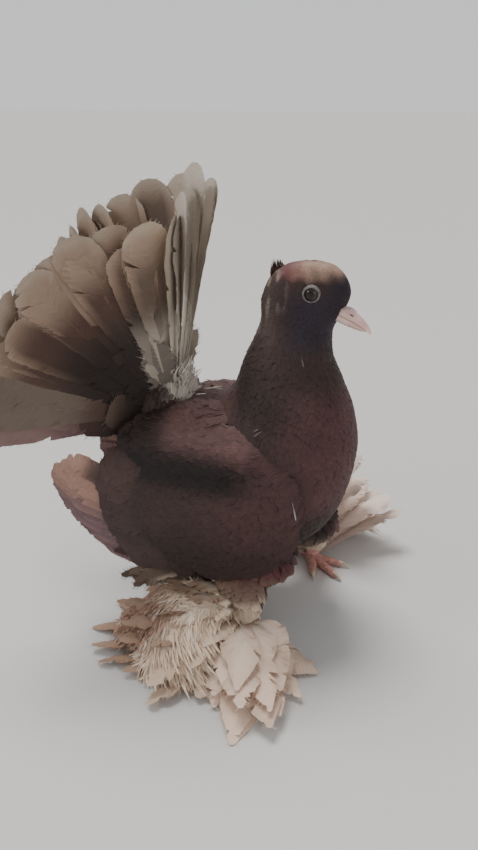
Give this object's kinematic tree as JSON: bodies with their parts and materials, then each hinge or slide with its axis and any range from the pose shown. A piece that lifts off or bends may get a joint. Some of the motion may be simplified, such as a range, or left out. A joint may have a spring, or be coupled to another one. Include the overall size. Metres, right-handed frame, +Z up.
{
  "type": "fantail pigeon",
  "caption": "Life-size still fantail pigeon standing with its fan tail raised, wings low, head drawn back and muffed feet spread on the floor",
  "frame": {"origin": "on the floor, under the middle of the whole bird's bounding box", "axes": "+X the way the bird faces, +Y its left side, +Z up"},
  "size_m": [0.2992, 0.313, 0.3267],
  "materials": {
    "plumage": "soft, close body feathers in dark chocolate brown, warmer on the back",
    "wing": "dark brown vanes that pale to pinkish brown at the tips",
    "tail": "thin vanes, dark brown at the root and pale beige at the tip",
    "muff": "loose pale pink and cream feathers with orange brown edges",
    "horn": "smooth flesh-pink horn with a soft cere",
    "eye": "wet and glossy, dark with a pale iris ring"
  },
  "bodies": {
    "root": {"torso": "plumage", "neck": "plumage", "head": "plumage", "bill_upper": "horn", "bill_lower": "horn", "eye_right": "eye", "eye_left": "eye", "wing_right": "wing", "wing_left": "wing", "tail_right": "tail", "tail_left": "tail", "leg_right": "plumage", "leg_left": "plumage", "foot_right": "muff", "foot_left": "muff"}
  },
  "joints": []
}
